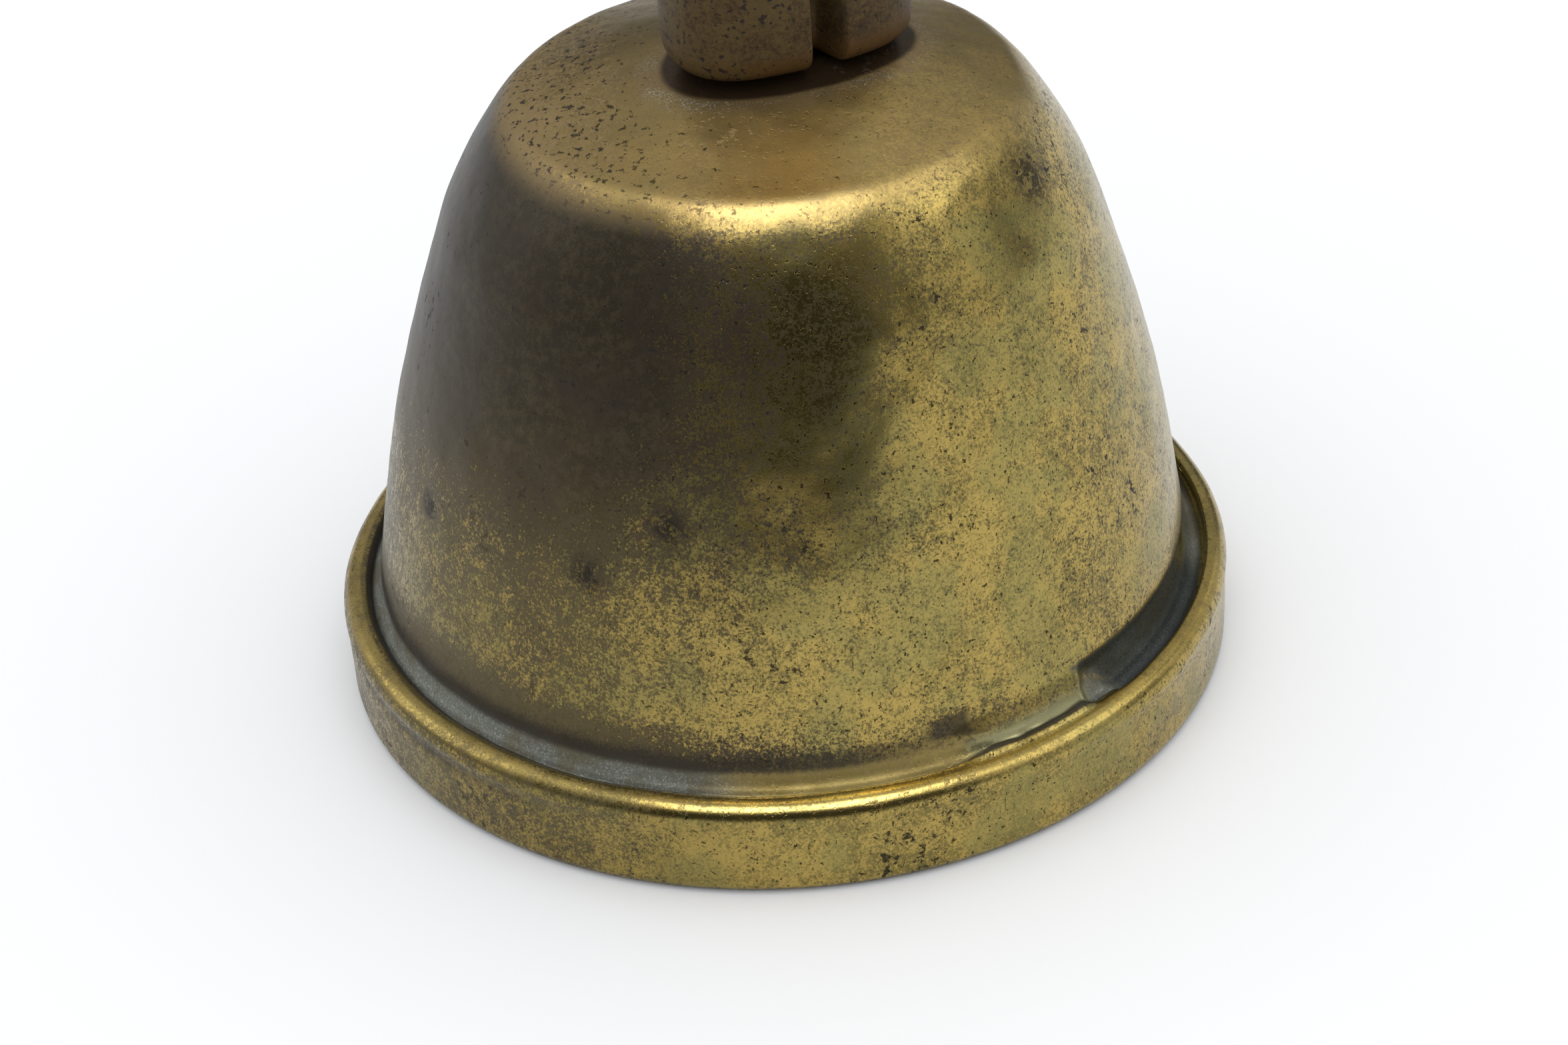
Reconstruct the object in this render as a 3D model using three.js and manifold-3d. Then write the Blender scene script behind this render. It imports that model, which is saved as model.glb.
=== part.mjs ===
// Small cast-brass hand bell, standing on its rim, with a clapper hung on a link.
// Millimetres, +Z up. The origin is the centre of the rim, in the plane it stands on.

import * as THREE from 'three';
import { mergeVertices } from 'three/addons/utils/BufferGeometryUtils.js';
import Module from 'manifold-3d';

const wasm = await Module();
wasm.setup();

// ---------------------------------------------------------------- driving dimensions

const gap = 0.3; // between a piece and the hole it passes through
const seat = 0.05; // between flat faces that rest on each other

const rim = { radius: 35, height: 7.8, innerRadius: 31.2, creaseRadius: 33.5 };
const crease = { radius: 32.4, depth: 0.5 }; // the cove between the rim and the wall
const body = { footRadius: 31.6, footHeight: 9.5, height: 51.8, wall: 2.7 };
const shoulder = { outerRadius: 24.3, outerHeight: 39, innerRadius: 18.1, innerHeight: 48.1 };
const lean = { x: 0.9, y: -0.4 }; // how far the crown sits off the rim's centre

const crown = { seatRadius: 4.8, seatHeight: 51.2, underside: 48.6, undersideRadius: 6.4 };
const stud = { radius: 1.9, top: 60 };
const holeRadius = stud.radius + gap;

const shim = { radius: 4.2, thickness: 0.8 };
const washer = { radius: 5.4, thickness: 0.8 };
const nut = { acrossFlats: 7, height: 2 };

const foot = { x: 2.95, y: -1.2, yaw: 27, width: 18.8, depth: 12.8, bottom: 52.2, flank: 57.5 };
const cleft = { depth: 2.2, halfWidth: 1.05 };
const neck = { bottom: 70, top: 72.4, radius: 4.1 };
const neckRing = { height: 74.4, centreRadius: 4.3, radius: 1.7 };
const collar = { height: 106.8, centreRadius: 4.1, radius: 1.5 };
const knob = { radius: 5.4 };
const handleTop = 119;

const wire = { bolt: 0.85, link: 0.8, rod: 0.8 };
const bolt = { eyeRadius: 2.3, eyeHeight: 42.4 };
const link = { bend: 2.3, straight: 2 };
const rod = { eyeRadius: 2.1, radius: 1.2, bottom: 6 };
const ball = { radius: 6.2, height: 9 };

// ---------------------------------------------------------------- materials

const brass = (color, roughness) => new THREE.MeshStandardMaterial({ color, roughness, metalness: 1 });
const bellBrass = brass(0x8f7442, 0.45);
const handleBrass = brass(0xa5793a, 0.5);
const sheetBrass = brass(0x6f5c38, 0.6);
const ironWire = brass(0x4a4642, 0.6);

// ---------------------------------------------------------------- shared shapes

const v2 = (r, z) => new THREE.Vector2(r, z);

function toSolid(geometry) {
  const bare = geometry.index ? geometry.clone() : geometry;
  bare.deleteAttribute('normal');
  bare.deleteAttribute('uv');
  const merged = mergeVertices(bare, 1e-4);
  return new wasm.Manifold(new wasm.Mesh({
    numProp: 3,
    vertProperties: new Float32Array(merged.attributes.position.array),
    triVerts: new Uint32Array(merged.index.array),
  }));
}

function toGeometry(solid) {
  const { vertProperties, triVerts } = solid.getMesh();
  const geometry = new THREE.BufferGeometry();
  geometry.setAttribute('position', new THREE.BufferAttribute(vertProperties, 3));
  geometry.setIndex(new THREE.BufferAttribute(triVerts, 1));
  geometry.computeVertexNormals();
  return geometry;
}

// A profile of (radius, height) points turned about +Z.
function turned(profile, segments) {
  return new THREE.LatheGeometry(profile, segments).rotateX(Math.PI / 2);
}

// An upright tube or disc with a round hole, from its lowest height.
function ring(outer, inner, bottom, height, segments) {
  return turned([
    v2(inner, bottom), v2(outer, bottom), v2(outer, bottom + height),
    v2(inner, bottom + height), v2(inner, bottom),
  ], segments);
}

// An upright round bar between two heights.
function post(radius, bottom, top, segments) {
  return new THREE.CylinderGeometry(radius, radius, top - bottom, segments)
    .rotateX(Math.PI / 2)
    .translate(0, 0, (bottom + top) / 2);
}

// A wire eye standing in the XZ plane.
function eye(radius, wireRadius, height) {
  return new THREE.TorusGeometry(radius, wireRadius, 10, 28)
    .rotateX(Math.PI / 2)
    .translate(0, 0, height);
}

function named(name, geometry, material) {
  const mesh = new THREE.Mesh(geometry, material);
  mesh.name = name;
  return mesh;
}

// ---------------------------------------------------------------- bell shell

// The outer curve of the cup, from the foot of the wall over the shoulder to the crown.
const wallFoot = v2(body.footRadius, body.footHeight);
const shoulderStart = v2(shoulder.outerRadius, shoulder.outerHeight);
const shoulderEnd = v2(shoulder.innerRadius, shoulder.innerHeight);
const crownTop = v2(0, body.height);
const curve = (...points) => new THREE.CubicBezierCurve(...points);
const wallCurve = curve(wallFoot, v2(30.3, 20.5), v2(27.5, 29.6), shoulderStart);
const shoulderCurve = curve(shoulderStart, v2(23.7, 40.7), v2(20.2, 47.5), shoulderEnd);
const domeCurve = curve(shoulderEnd, v2(12.5, 49.7), v2(7, body.height), crownTop);

// Samples a curve and moves each point square to it, towards the inside of the cup.
function offset(line, steps, distance) {
  return Array.from({ length: steps + 1 }, (_, i) => {
    const t = i / steps;
    const p = line.getPoint(t);
    const along = line.getTangent(t);
    return v2(p.x - along.y * distance, p.y + along.x * distance);
  });
}

function cupCurve(distance) {
  const flat = distance > 0 ? crown.undersideRadius : crown.seatRadius;
  const dome = offset(domeCurve, 6, distance).filter((p) => p.x > flat + 0.3);
  return [
    ...offset(wallCurve, 7, distance),
    ...offset(shoulderCurve, 4, distance).slice(1),
    ...dome.slice(1),
  ];
}

// Points on part of a circle, between two angles in degrees.
function roundOff(centre, radius, from, to, steps) {
  return Array.from({ length: steps + 1 }, (_, i) => {
    const a = THREE.MathUtils.degToRad(from + ((to - from) * i) / steps);
    return v2(centre.x + radius * Math.cos(a), centre.y + radius * Math.sin(a));
  });
}

// Above the foot of the wall the casting leans, a little more with each millimetre of height.
function leanOver(geometry) {
  const p = geometry.attributes.position;
  for (let i = 0; i < p.count; i += 1) {
    const rise = Math.max(0, p.getZ(i) - body.footHeight) / (crown.seatHeight - body.footHeight);
    p.setXY(i, p.getX(i) + lean.x * Math.min(rise, 1), p.getY(i) + lean.y * Math.min(rise, 1));
  }
  return geometry;
}

function bellShell() {
  const band = [
    ...roundOff(v2(rim.radius - 1.2, 1.2), 1.2, -90, 0, 3),
    ...roundOff(v2(rim.radius - 1, rim.height - 1), 1, 0, 110, 4),
    v2(rim.creaseRadius, rim.height - 0.35),
    v2(crease.radius, rim.height - crease.depth),
    v2((crease.radius + body.footRadius) / 2, rim.height + crease.depth),
  ];
  const outer = cupCurve(0);
  const inner = cupCurve(body.wall).reverse();
  const profile = [
    v2(rim.innerRadius, 0),
    ...band,
    ...outer,
    v2(crown.seatRadius, crown.seatHeight),
    v2(holeRadius, crown.seatHeight),
    v2(holeRadius, crown.underside),
    v2(crown.undersideRadius, crown.underside),
    ...inner,
    v2(rim.innerRadius, 0),
  ];
  return named('bell_shell', leanOver(turned(profile, 48)), bellBrass);
}

// ---------------------------------------------------------------- handle

// Stations across one front or back face, closest together beside the cleft and at the corners.
const halfStations = [0.05, 0.1, 0.16, 0.28, 0.5, 0.72, 0.87, 0.96, 0.993];
const stations = [-1, ...halfStations.map((s) => -s).reverse(), 0, ...halfStations, 1];

// One level of the handle: a rounded block with a cleft front and back, or a plain circle.
function level(z, { width, depth, squareness, split }) {
  const face = (s) => (depth / 2) * (1 - Math.abs(s) ** squareness) ** (1 / squareness);
  const dip = (s) => split * Math.exp(-(((s * width) / 2 / cleft.halfWidth) ** 4));
  const front = stations.map((s) => new THREE.Vector3((s * width) / 2, -(face(s) - dip(s)), z));
  const back = stations.slice(1, -1).reverse()
    .map((s) => new THREE.Vector3((s * width) / 2, face(s) - dip(s), z));
  return [...front, ...back];
}

function round(z, radius) {
  return level(z, { width: 2 * radius, depth: 2 * radius, squareness: 2, split: 0 });
}

// The two-lobed foot: a rounded lower edge, upright flanks, then drawn in to the round neck.
function footLevels() {
  const lower = [[0, 2.3], [0.4, 1], [1.2, 0.28], [2.3, 0]].map(([above, cut]) => ({
    z: foot.bottom + above,
    width: foot.width - 2 * cut,
    depth: foot.depth - 2 * cut,
    squareness: 2.3,
    split: cleft.depth - 0.4 * cut,
  }));
  const upper = [
    { z: foot.flank, width: foot.width, depth: foot.depth, squareness: 2.3, split: cleft.depth },
    { z: 60.5, width: 17.2, depth: 12.2, squareness: 2.3, split: 0.9 * cleft.depth },
    { z: 63.2, width: 13.8, depth: 10.8, squareness: 2.2, split: 0.6 * cleft.depth },
    { z: 66, width: 10.6, depth: 9.4, squareness: 2.1, split: 0.3 * cleft.depth },
    { z: 68.2, width: 8.8, depth: 8.5, squareness: 2.05, split: 0.07 * cleft.depth },
  ];
  return [...lower, ...upper].map(({ z, ...shape }) => level(z, shape));
}

// The turned part: neck, ring, pear-shaped grip, collar and ball.
function turnedLevels() {
  const bead = roundOff(v2(neckRing.centreRadius, neckRing.height), neckRing.radius, -80, 80, 5);
  const grip = new THREE.SplineCurve([
    v2(4.2, 76.6), v2(5, 80), v2(7, 86), v2(7.9, 92), v2(7, 98), v2(5, 102.5), v2(4, 105),
  ]).getPoints(14);
  const upperRing = roundOff(v2(collar.centreRadius, collar.height), collar.radius, -70, 70, 4);
  const ballEnd = roundOff(v2(0, handleTop - knob.radius), knob.radius, -54, 84, 9);
  return [
    v2(neck.radius, neck.bottom), v2(neck.radius, neck.top), ...bead, ...grip, ...upperRing, ...ballEnd,
  ].map((p) => round(p.y, p.x));
}

// Joins a stack of levels into one closed skin with a flat fan at each end.
function loft(levels) {
  const n = levels[0].length;
  const centre = (ringPoints) => ringPoints
    .reduce((sum, p) => sum.add(p), new THREE.Vector3()).divideScalar(n);
  const points = [...levels.flat(), centre(levels[0]), centre(levels.at(-1))];
  const bottom = points.length - 2;
  const top = points.length - 1;
  const lastRing = (levels.length - 1) * n;
  const faces = [];
  for (let i = 0; i < n; i += 1) {
    const j = (i + 1) % n;
    for (let k = 0; k < lastRing; k += n) {
      faces.push(k + i, k + j, k + n + j, k + i, k + n + j, k + n + i);
    }
    faces.push(bottom, j, i, top, lastRing + i, lastRing + j);
  }
  const geometry = new THREE.BufferGeometry().setFromPoints(points);
  geometry.setIndex(faces);
  return geometry;
}

// How far the dome has fallen at a distance from the crown's centre line.
function domeFall(reach) {
  const points = domeCurve.getPoints(40);
  const i = points.findIndex((p) => p.x <= reach);
  if (i === 0) return body.height - points[0].y;
  const share = (reach - points[i].x) / (points[i - 1].x - points[i].x);
  return body.height - THREE.MathUtils.lerp(points[i].y, points[i - 1].y, share);
}

// The foot is filed to sit on the dome, so its underside falls away with it.
function fittedToDome(geometry) {
  const p = geometry.attributes.position;
  for (let i = 0; i < p.count; i += 1) {
    const share = 1 - THREE.MathUtils.smoothstep(p.getZ(i), foot.bottom, foot.flank);
    const reach = Math.hypot(p.getX(i) - lean.x, p.getY(i) - lean.y);
    if (share > 0) p.setZ(i, p.getZ(i) - share * domeFall(reach));
  }
  return geometry;
}

// What the handle has to clear: the domed crown, the shim on it and the stud.
function crownClearance() {
  const below = shoulder.outerHeight;
  const shimRadius = shim.radius + gap;
  const shimTop = crown.seatHeight + shim.thickness + 2 * seat;
  const dome = offset(domeCurve, 6, -gap - seat).filter((p) => p.x > shimRadius);
  const profile = [
    v2(0, below),
    v2(shoulder.outerRadius, below),
    ...dome,
    v2(shimRadius, body.height),
    v2(shimRadius, shimTop),
    v2(0, shimTop),
  ];
  return toSolid(turned(profile, 48).translate(lean.x, lean.y, 0))
    .add(toSolid(post(holeRadius, below + 1, stud.top + 1, 20).translate(lean.x, lean.y, 0)));
}

function handleCasting() {
  const casting = fittedToDome(loft([...footLevels(), ...turnedLevels()])
    .rotateZ(THREE.MathUtils.degToRad(foot.yaw))
    .translate(foot.x, foot.y, 0));
  return named('handle_casting', toGeometry(toSolid(casting).subtract(crownClearance())), handleBrass);
}

// ---------------------------------------------------------------- crown fittings

function crownShim() {
  const disc = ring(shim.radius, holeRadius, crown.seatHeight + seat, shim.thickness, 32);
  return named('crown_shim', disc, sheetBrass);
}

const washerBottom = crown.underside - seat - washer.thickness;

function crownWasher() {
  const disc = ring(washer.radius, holeRadius, washerBottom, washer.thickness, 32);
  return named('crown_washer', disc, sheetBrass);
}

function crownNut() {
  const corner = nut.acrossFlats / 2 / Math.cos(Math.PI / 6);
  const outline = Array.from({ length: 6 }, (_, i) => {
    const a = (i * Math.PI) / 3;
    return v2(corner * Math.cos(a), corner * Math.sin(a));
  });
  const shape = new THREE.Shape(outline);
  shape.holes.push(new THREE.Path().absarc(0, 0, holeRadius, 0, 2 * Math.PI, true));
  const extrusion = { depth: nut.height, bevelEnabled: false, curveSegments: 10 };
  const prism = new THREE.ExtrudeGeometry(shape, extrusion)
    .translate(0, 0, washerBottom - seat - nut.height);
  return named('crown_nut', prism, bellBrass);
}

function hangerEyeBolt() {
  const shank = toSolid(post(stud.radius, bolt.eyeHeight + bolt.eyeRadius - 0.3, stud.top, 20));
  const loop = toSolid(eye(bolt.eyeRadius, wire.bolt, bolt.eyeHeight));
  return named('hanger_eye_bolt', toGeometry(shank.add(loop)), ironWire);
}

// ---------------------------------------------------------------- clapper

// The link hangs over the lowest point of the bolt's eye, and the rod's eye over the link's.
const slack = 0.1; // between two wires that hang in each other
const linkTop = bolt.eyeHeight - bolt.eyeRadius + wire.bolt + wire.link + slack;
const linkBottom = linkTop - 2 * link.bend - link.straight;
const rodEyeHeight = linkBottom + wire.link + wire.rod + slack - rod.eyeRadius;

// The link's centre line: two half circles joined by straights, in the YZ plane.
class Oval extends THREE.Curve {
  getPoint(t, target = new THREE.Vector3()) {
    const half = Math.PI * link.bend + link.straight;
    const s = (t % 1) * 2 * half;
    const side = s < half ? 1 : -1;
    const bent = Math.min((s % half) / link.bend, Math.PI);
    const dropped = Math.max((s % half) - Math.PI * link.bend, 0);
    const middle = linkTop - link.bend - link.straight / 2;
    const y = link.bend * Math.cos(bent);
    const z = link.straight / 2 + link.bend * Math.sin(bent) - dropped;
    return target.set(0, side * y, middle + side * z);
  }
}

// A round wire swept along a closed loop that lies in the YZ plane.
function sweptLoop(curve, wireRadius, steps, sides) {
  const points = [];
  const faces = [];
  for (let i = 0; i < steps; i += 1) {
    const centre = curve.getPoint(i / steps);
    const along = curve.getPoint(i / steps + 1e-4).sub(centre).normalize();
    const across = new THREE.Vector3(1, 0, 0);
    const outward = new THREE.Vector3().crossVectors(along, across);
    for (let k = 0; k < sides; k += 1) {
      const a = (2 * Math.PI * k) / sides;
      points.push(centre.clone()
        .addScaledVector(across, wireRadius * Math.cos(a))
        .addScaledVector(outward, wireRadius * Math.sin(a)));
      const i0 = i * sides;
      const i1 = ((i + 1) % steps) * sides;
      const k1 = (k + 1) % sides;
      faces.push(i0 + k, i0 + k1, i1 + k1, i0 + k, i1 + k1, i1 + k);
    }
  }
  const geometry = new THREE.BufferGeometry().setFromPoints(points);
  geometry.setIndex(faces);
  return geometry;
}

function suspensionLink() {
  return named('suspension_link', sweptLoop(new Oval(), wire.link, 32, 10), ironWire);
}

function clapperRod() {
  const loop = toSolid(eye(rod.eyeRadius, wire.rod, rodEyeHeight));
  const shaft = toSolid(post(rod.radius, rod.bottom, rodEyeHeight - rod.eyeRadius + 0.2, 16));
  return named('clapper_rod', toGeometry(loop.add(shaft)), ironWire);
}

function clapperBall() {
  const sphere = new THREE.SphereGeometry(ball.radius, 28, 18)
    .rotateX(Math.PI / 2)
    .translate(0, 0, ball.height);
  const hole = post(rod.radius + gap, rod.bottom - gap, ball.height + 2 * ball.radius, 16);
  return named('clapper_ball', toGeometry(toSolid(sphere).subtract(toSolid(hole))), bellBrass);
}

// ---------------------------------------------------------------- assembly

// Everything that hangs from the crown shares the crown's centre line.
const hung = new THREE.Group();
hung.position.set(lean.x, lean.y, 0);
hung.add(crownShim(), crownWasher(), crownNut(), hangerEyeBolt());
hung.add(suspensionLink(), clapperRod(), clapperBall());

const bell = new THREE.Group();
bell.add(bellShell(), handleCasting(), hung);

export default bell;
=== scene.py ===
"""The looks of a small aged cast-brass hand bell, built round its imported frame.

Sizes are in millimetres in the text and in metres in the meshes. The rim's centre is the origin,
+Z is up and the front of the bell faces -Y.
"""

import math

import bmesh
import bpy
import numpy as np
from mathutils import Matrix, Vector, noise


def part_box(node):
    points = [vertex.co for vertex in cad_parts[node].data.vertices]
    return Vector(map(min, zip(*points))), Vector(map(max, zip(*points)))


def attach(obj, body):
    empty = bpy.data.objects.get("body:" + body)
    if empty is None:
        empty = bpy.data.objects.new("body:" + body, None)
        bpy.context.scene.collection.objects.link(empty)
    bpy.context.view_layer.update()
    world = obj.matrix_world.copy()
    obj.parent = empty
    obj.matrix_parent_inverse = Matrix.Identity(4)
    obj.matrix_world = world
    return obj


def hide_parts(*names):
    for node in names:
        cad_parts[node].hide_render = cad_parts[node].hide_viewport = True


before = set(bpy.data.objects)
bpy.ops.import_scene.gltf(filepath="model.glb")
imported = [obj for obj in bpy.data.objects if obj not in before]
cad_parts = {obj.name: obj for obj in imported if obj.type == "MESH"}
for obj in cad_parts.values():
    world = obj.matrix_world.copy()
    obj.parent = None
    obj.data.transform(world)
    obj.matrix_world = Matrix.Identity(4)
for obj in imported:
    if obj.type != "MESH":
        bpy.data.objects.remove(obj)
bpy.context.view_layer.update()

# ---------------------------------------------------------------- bell shell
# The cup: one thick brass casting, turned on the outside and left rough inside. A flat rim band
# with a rounded bead carries it, a cove parts the band from the flared wall, and the wall turns
# over a soft shoulder into a low domed crown, which sits a little off the rim's centre.

MM = 0.001

shell_low, shell_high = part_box("bell_shell")
rim_radius = (shell_high[0] - shell_low[0]) / 2 / MM
mouth_radius = 31.2
face_radius = rim_radius - 0.12
rim_edge = 0.9
bead_radius = 1.35
bead_height = 7.75
bead_centre = (rim_radius - bead_radius, bead_height - bead_radius)
cove_radius, cove_height = 32.35, 7.5
foot_radius, foot_height = 31.6, 9.5
crown_height = 51.8
wall_thickness = 2.7
stud_hole_radius = 2.2
seat_radius, seat_height = 4.8, 51.2
underside_radius, underside_height = 6.4, 48.6
crown_offset = Vector((0.9, -0.4, 0))

# The outside of the cup, as curves from the crease beside the bead up to the middle of the crown.
cove_bottom = (cove_radius, cove_height)
wall_foot, wall_top, crown_edge = (foot_radius, foot_height), (24.3, 39.0), (18.1, 48.1)
CREASE = ((32.80, 7.10), (32.70, 6.95), (32.5, 7.20), cove_bottom)
COVE = (cove_bottom, (31.95, 7.85), (31.68, 8.6), wall_foot)
WALL = (wall_foot, (30.3, 20.5), (27.5, 29.6), wall_top)
SHOULDER = (wall_top, (23.7, 40.7), (20.2, 47.5), crown_edge)
DOME = (crown_edge, (12.5, 49.7), (7.0, crown_height), (0.0, crown_height))

# Where the handle's foot stands on the crown, how far it is turned, and its size there.
foot_place = Vector((2.95, -1.2, 0))
foot_turn = math.radians(27)
foot_width, foot_depth = 18.8, 12.8


def bezier(points, count=60):
    """Points along a cubic curve through the four control points."""
    a, b, c, d = (np.array(p, float) for p in points)
    t = np.linspace(0, 1, count)[:, None]
    return (1 - t) ** 3 * a + 3 * (1 - t) ** 2 * t * b + 3 * (1 - t) * t * t * c + t ** 3 * d


def arc(centre, radius, start, end, count=12):
    """Points on a circle, from one angle to another in degrees."""
    angles = np.radians(np.linspace(start, end, count))
    return np.stack([centre[0] + radius * np.cos(angles), centre[1] + radius * np.sin(angles)], 1)


def evenly(points, spacing):
    """The same line with its points a fixed distance apart."""
    points = np.vstack(points)
    steps = np.linalg.norm(np.diff(points, axis=0), axis=1)
    points = points[np.concatenate([[True], steps > 1e-6])]
    run = np.concatenate([[0], np.cumsum(np.linalg.norm(np.diff(points, axis=0), axis=1))])
    at = np.linspace(0, run[-1], max(2, round(run[-1] / spacing) + 1))
    return np.stack([np.interp(at, run, points[:, 0]), np.interp(at, run, points[:, 1])], 1)


def inset(line, distance):
    """The line moved square to itself, towards the inside of the cup."""
    along = np.gradient(line, axis=0)
    along /= np.linalg.norm(along, axis=1)[:, None]
    return line + distance * np.stack([-along[:, 1], along[:, 0]], 1)


def mesh_piece(name, points, faces):
    """A smooth-shaded mesh with its faces turned outwards."""
    mesh = bpy.data.meshes.new(name)
    mesh.from_pydata([tuple(p) for p in points], [], faces)
    skin = bmesh.new()
    skin.from_mesh(mesh)
    bmesh.ops.recalc_face_normals(skin, faces=skin.faces)
    skin.to_mesh(mesh)
    skin.free()
    mesh.polygons.foreach_set("use_smooth", [True] * len(mesh.polygons))
    piece = bpy.data.objects.new(name, mesh)
    bpy.context.collection.objects.link(piece)
    return piece


def rings_to_faces(rings, sides, closed=False):
    """Quads between rings of points, and from the last ring back to the first if closed."""
    faces = []
    for i in range(rings if closed else rings - 1):
        a, b = i * sides, (i + 1) % rings * sides
        faces += [(a + k, a + (k + 1) % sides, b + (k + 1) % sides, b + k) for k in range(sides)]
    return faces


def step(low, high, x):
    """0 below low, 1 above high, and a smooth rise between."""
    t = np.clip((x - low) / (high - low), 0, 1)
    return t * t * (3 - 2 * t)


def bump(centre, width, x):
    """A rounded hill, 1 high at its centre."""
    return np.exp(-(((x - centre) / width) ** 2))


def wander(points, size, seed):
    """Smooth noise from -1 to 1 at each point, with features of about that size in mm."""
    shift = Vector((seed * 17.3, seed * 5.1, seed * 11.7))
    return np.array([noise.noise(Vector(p) / size + shift) for p in points])


outside = np.vstack([
    evenly([(mouth_radius, 0), (face_radius - rim_edge, 0)], 0.6),
    evenly([arc((face_radius - rim_edge, rim_edge), rim_edge, -90, 0)], 0.25)[1:],
    evenly([(face_radius, rim_edge), (face_radius, bead_height - 1.6 * bead_radius)], 0.4)[1:],
    evenly([arc(bead_centre, bead_radius, -12, 128, 24)], 0.16),
    evenly([bezier(CREASE), bezier(COVE)], 0.16),
    evenly([bezier(WALL), bezier(SHOULDER), bezier(DOME)[:-1]], 0.42)[1:],
])
outside = outside[~((outside[:, 0] < seat_radius + 0.2) & (outside[:, 1] > seat_height))]
under = inset(np.vstack([bezier(WALL), bezier(SHOULDER)[1:], bezier(DOME)[1:-1]]), wall_thickness)
under = under[under[:, 0] > underside_radius + 0.2]
inside = np.vstack([
    [(stud_hole_radius, seat_height), (stud_hole_radius, underside_height)],
    [(underside_radius, underside_height)],
    evenly([under[::-1], (mouth_radius, 0.4), (mouth_radius, 0)], 1.1)[:-1],
])
profile = np.vstack([outside, [(seat_radius, seat_height)], inside])

SHELL_SIDES = 480
angle = np.linspace(0, 2 * math.pi, SHELL_SIDES, endpoint=False)
turn = np.degrees((angle + math.pi) % (2 * math.pi) - math.pi)
radius = np.repeat(profile[:, 0], SHELL_SIDES)
height = np.repeat(profile[:, 1], SHELL_SIDES)
around = np.tile(turn, len(profile))
outer = np.repeat(np.arange(len(profile)) < len(outside), SHELL_SIDES)

# The turned skin is not perfect: slow dents, a bead that wavers, a cove cut deep on the right and
# filled for a finger's width with metal that ran over it when the bell was cast.
along = np.gradient(profile, axis=0)
along /= np.linalg.norm(along, axis=1)[:, None]
square = np.repeat(np.stack([along[:, 1], -along[:, 0]], 1), SHELL_SIDES, axis=0)
spots = np.stack([radius * np.sin(np.radians(around)), -radius * np.cos(np.radians(around)), height], 1)
dents = 0.11 * wander(spots, 9.0, 1) + 0.055 * wander(spots, 3.2, 2) + 0.018 * wander(spots, 1.1, 3)
in_cove = step(33.5, 32.9, radius) * step(10.6, 8.9, height) * step(6.6, 7.0, height)
on_bead = step(33.2, 33.7, radius) * step(6.0, 6.9, height)
wavering = wander(np.stack([around / 9, around * 0, height * 0], 1), 1.0, 4)
deep = step(41.0, 44.0, around + 2.2 * (height - foot_height)) * step(112, 92, around)
filled = step(19.0, 26.0, around) * step(42.5, 40.0, around)
relief = dents * step(1.0, 3.0, height) * (1 - 0.5 * on_bead)
relief += on_bead * 0.05 * (wavering - 1)
relief -= 0.14 * bump(5.4, 0.5, height) * step(34.0, 34.6, radius) * step(-22, -50, around)
relief += in_cove * (0.10 * wavering - 0.75 * deep + 0.62 * filled * (1 + 0.3 * wander(spots, 1.6, 5)))
relief += -0.16 * bump(22, 3.2, around) * bump(10.0, 0.7, height) * (1 + wander(spots, 0.8, 6))
relief = np.where(outer, relief, 0.12 * wander(spots, 2.6, 7) * step(0.3, 2.5, height)
                  * step(underside_radius, underside_radius + 2, radius))
radius = np.minimum(radius + square[:, 0] * relief, rim_radius)
height = np.maximum(height + square[:, 1] * relief, 0)

rise = np.clip((height - foot_height) / (seat_height - foot_height), 0, 1)
shell_points = np.stack([
    radius * np.sin(np.radians(around)) + crown_offset.x * rise,
    -radius * np.cos(np.radians(around)) + crown_offset.y * rise,
    height,
], 1) * MM
shell = mesh_piece("shell_cast", shell_points, rings_to_faces(len(profile), SHELL_SIDES, closed=True))


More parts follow.
